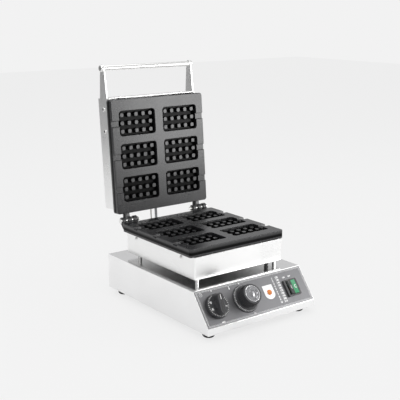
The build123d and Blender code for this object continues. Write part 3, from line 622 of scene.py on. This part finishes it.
# %% Switch and lamp
SWITCH_X, SWITCH_UP, ROCKER_TILT = 97.0, 37.5, 10.0
MARK_OUT, MARK_RISE = 7.0, 6.75
LAMP_X, LAMP_UP = 36.0, 40.0
rocker_place = (panel(SWITCH_X, SWITCH_UP, FACE)
                @ Matrix.Rotation(math.radians(ROCKER_TILT), 4, "Y"))
line_place = rocker_place @ Matrix.Translation((-MARK_OUT * MM, 0, MARK_RISE * MM))
zero_place = rocker_place @ Matrix.Translation((MARK_OUT * MM, 0, MARK_RISE * MM))
line_mark = bar(line_place, 1.2, 9.0, 0.5)
zero_mark = ring(zero_place, 3.4, 0.7, 48)
piece("rocker_marks", [line_mark, zero_mark], "rocker", white_print)
lamp_rim = [ring(panel(LAMP_X, LAMP_UP, FACE + 0.55), 6.3, 0.45)]
piece("lamp_rim", lamp_rim, "base", bright)

# %% [markdown]
# ## Screw recesses
# Each screw head that shows has a cross recess, drawn as a near-black cross: painted shade in the
# recess.

# %% Screw recesses

ARM_SCREW_TOP, WALL_SCREW_TOP = 3.05 + 2.4, 2.05
SUNK = 0.08
ARM_SCREW_Z, HOUSING_SCREW_Z, COVER_SCREW_Z = 208.35, 141.5, 196.1
ARM_REACH, WALL_REACH = 2.4, 1.7


def cross(place, reach):
    return [bar(place, reach * 2, reach * 0.45, 0.3), bar(place, reach * 0.45, reach * 2, 0.3)]


arm_recesses, housing_recesses, cover_recesses = [], [], []
for side in (-1, 1):
    for y in (103.0, 153.0):
        spot = at(side * (BOX_HALF + ARM_SCREW_TOP - SUNK), y, ARM_SCREW_Z)
        arm_recesses += cross(swung(facing(spot, (side, 0, 0))), ARM_REACH)
for side in (-1, 1):
    for y in (125.5, 294.5):
        spot = at(side * (BOX_HALF + WALL_SCREW_TOP - SUNK), y, HOUSING_SCREW_Z)
        housing_recesses += cross(facing(spot, (side, 0, 0)), WALL_REACH)
for x in (-84.5, 84.5):
    for wall, way in ((BOX_FRONT, -1), (BOX_BACK, 1)):
        spot = at(x, wall + way * (WALL_SCREW_TOP - SUNK), COVER_SCREW_Z)
        cover_recesses += cross(swung(facing(spot, (0, way, 0))), WALL_REACH)
piece("arm_recesses", arm_recesses, "lid", painted_recess_shade)
piece("housing_recesses", housing_recesses, "base", painted_recess_shade)
piece("cover_recesses", cover_recesses, "lid", painted_recess_shade)

# %% [markdown]
# ## Leads
# Both leads leave the housing's back, turn up behind the hinge and enter the cover.

# %% Leads
LEAD_END_Y, GLAND_MOUTH_Y = 335.0, 345.0
LEAD_LOW_Z, LEAD_HIGH_Z = 130.5, 209.1


def lead(name, x, radius, finish, kept):
    """One lead as a smooth tube from the housing's wall to the open cover's wall."""
    cover_end = swung(Matrix.Translation(at(x, LEAD_END_Y, LEAD_HIGH_Z))).translation
    cover_mouth = swung(Matrix.Translation(at(x, GLAND_MOUTH_Y, LEAD_HIGH_Z))).translation
    housing_end = at(x, LEAD_END_Y, LEAD_LOW_Z)
    housing_mouth = housing_end + Vector((0, 0.012, 0))
    corner = Vector((cover_end.x, cover_mouth.y - 0.003, 0.1315))
    points = [housing_end, housing_mouth, housing_end + Vector((0, 0.034, 0)), corner,
              cover_mouth - Vector((0, 0.001, 0.018)), cover_mouth, cover_end]
    curve = bpy.data.curves.new(name, "CURVE")
    curve.dimensions = "3D"
    curve.bevel_depth = radius * MM
    curve.bevel_resolution = 6
    curve.resolution_u = 16
    spline = curve.splines.new("NURBS")
    spline.points.add(len(points) - 1)
    for point, spot in zip(spline.points, points):
        point.co = (*spot, 1)
    spline.order_u = 4
    spline.use_endpoint_u = True
    obj = bpy.data.objects.new(name, curve)
    bpy.context.collection.objects.link(obj)
    bpy.ops.object.select_all(action="DESELECT")
    obj.select_set(True)
    bpy.context.view_layer.objects.active = obj
    bpy.ops.object.convert(target="MESH")
    obj = bpy.context.object
    bpy.ops.object.shade_smooth()
    obj.data.materials.clear()
    obj.data.materials.append(finish)
    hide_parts(kept)
    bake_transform(obj)


lead("lead_between", 3.0, 3.2, sleeve, "lid_lead")
lead("earth_between", -11.0, 1.6, pale_sleeve, "earth_lead")

# %% [markdown]
# ## Floor, light and camera
# The floor shines a little to the camera only, so that it meets the background without a line.

# %% Floor
BACKDROP = (0.888, 0.888, 0.888)
FLOOR_GLOW = (0.871, 0.871, 0.871, 1)
FLOOR_GLOW_SHARE = 0.88

bpy.ops.mesh.primitive_plane_add(size=12)
floor = bpy.context.object
floor.name = "floor"
material, tree, shader, where = start("floor_paper")
slow = add_variation(tree, where, 2.0)
tree.links.new(mixed(tree, slow.outputs["Cloud"], (0.86, 0.86, 0.86), (0.88, 0.88, 0.88)),
               shader.inputs["Base Color"])
shader.inputs["Roughness"].default_value = 0.9
shader.inputs["Specular IOR Level"].default_value = 0.1
glow = node(tree, "ShaderNodeEmission", Strength=1.0)
glow.inputs["Color"].default_value = FLOOR_GLOW
seen = tree.nodes.new("ShaderNodeLightPath")
both = tree.nodes.new("ShaderNodeMixShader")
tree.links.new(maths(tree, "MULTIPLY", seen.outputs["Is Camera Ray"], FLOOR_GLOW_SHARE),
               both.inputs[0])
tree.links.new(shader.outputs[0], both.inputs[1])
tree.links.new(glow.outputs[0], both.inputs[2])
tree.links.new(both.outputs[0], tree.nodes["Material Output"].inputs["Surface"])
floor.data.materials.append(material)

# %% World and lights
world = bpy.data.worlds.new("studio")
bpy.context.scene.world = world
world.use_nodes = True
tree = world.node_tree
back = tree.nodes["Background"]
where = tree.nodes.new("ShaderNodeTexCoord").outputs["Generated"]
split = tree.nodes.new("ShaderNodeSeparateXYZ")
tree.links.new(where, split.inputs[0])
seen = tree.nodes.new("ShaderNodeLightPath")
height = maths(tree, "MULTIPLY", maths(tree, "ADD", split.outputs["Z"], 0.25), 0.8)
sky = mixed(tree, height, (0.50, 0.50, 0.51), (0.92, 0.92, 0.92))
tree.links.new(mixed(tree, seen.outputs["Is Camera Ray"], sky, BACKDROP),
               back.inputs["Color"])
back.inputs["Strength"].default_value = 1.0


def lamp(name, place, target, size, watts):
    """A soft area light that looks at the target."""
    data = bpy.data.lights.new(name, "AREA")
    data.shape = "RECTANGLE"
    data.size, data.size_y = size
    data.energy = watts
    obj = bpy.data.objects.new(name, data)
    bpy.context.collection.objects.link(obj)
    obj.location = place
    aim = Vector(target) - Vector(place)
    obj.rotation_euler = aim.to_track_quat("-Z", "Y").to_euler()


MIDDLE = (0, 0, 0.2)
lamp("key_light", (-1.6, -1.4, 2.2), MIDDLE, (1.6, 1.6), 26)
lamp("fill_light", (1.9, -0.9, 1.3), MIDDLE, (1.2, 1.2), 7)
lamp("top_light", (0.2, 0.5, 2.4), MIDDLE, (1.8, 1.8), 16)

# %% [markdown]
# Cards that only reflections see give the steel and the castings their soft gradients.

# %% Cards

def card(name, place, target, size, strength):
    """A glowing card that faces the target and shows only in reflections."""
    bpy.ops.mesh.primitive_plane_add(size=1)
    aim = (Vector(target) - Vector(place)).to_track_quat("Z", "Y").to_matrix().to_4x4()
    obj = settled(Matrix.Translation(place) @ aim @ Matrix.Diagonal((*size, 1, 1)))
    obj.name = name
    material = bpy.data.materials.new(name)
    material.use_nodes = True
    tree = material.node_tree
    glow = node(tree, "ShaderNodeEmission", Strength=strength)
    glow.inputs["Color"].default_value = (1, 1, 1, 1)
    tree.links.new(glow.outputs[0], tree.nodes["Material Output"].inputs["Surface"])
    obj.data.materials.append(material)
    obj.visible_camera = False
    obj.visible_diffuse = False
    obj.visible_shadow = False
    obj.visible_transmission = False


card("bright_card", (1.02, -1.10, 0.48), (0.1, 0.1, 0.3), (0.7, 0.62), 7.5)
card("dark_card", (-1.35, 1.2, 0.35), (-0.1, 0.2, 0.35), (1.3, 0.8), 0.12)

# %% [markdown]
# The camera's place, direction and lens come from a fit to the photograph.

# %% Camera
CAMERA_PLACE = (-1067.37, -1201.62, 651.31)
CAMERA_LENS = 74.815
AZIMUTH, ELEVATION, ROLL = 0.64522, -0.23463, -0.002

camera_data = bpy.data.cameras.new("camera")
camera_data.sensor_width = 36.0
camera_data.lens = CAMERA_LENS
camera = bpy.data.objects.new("camera", camera_data)
bpy.context.collection.objects.link(camera)
bpy.context.scene.camera = camera
ahead = Vector((math.sin(AZIMUTH) * math.cos(ELEVATION), math.cos(AZIMUTH) * math.cos(ELEVATION),
                math.sin(ELEVATION)))
right = Vector((math.cos(AZIMUTH), -math.sin(AZIMUTH), 0))
up = right.cross(ahead)
level = Matrix((right, up, -ahead)).transposed()
camera.matrix_world = (Matrix.Translation(at(*CAMERA_PLACE))
                       @ level.to_4x4() @ Matrix.Rotation(ROLL, 4, "Z"))
bpy.context.scene.view_settings.view_transform = "Standard"
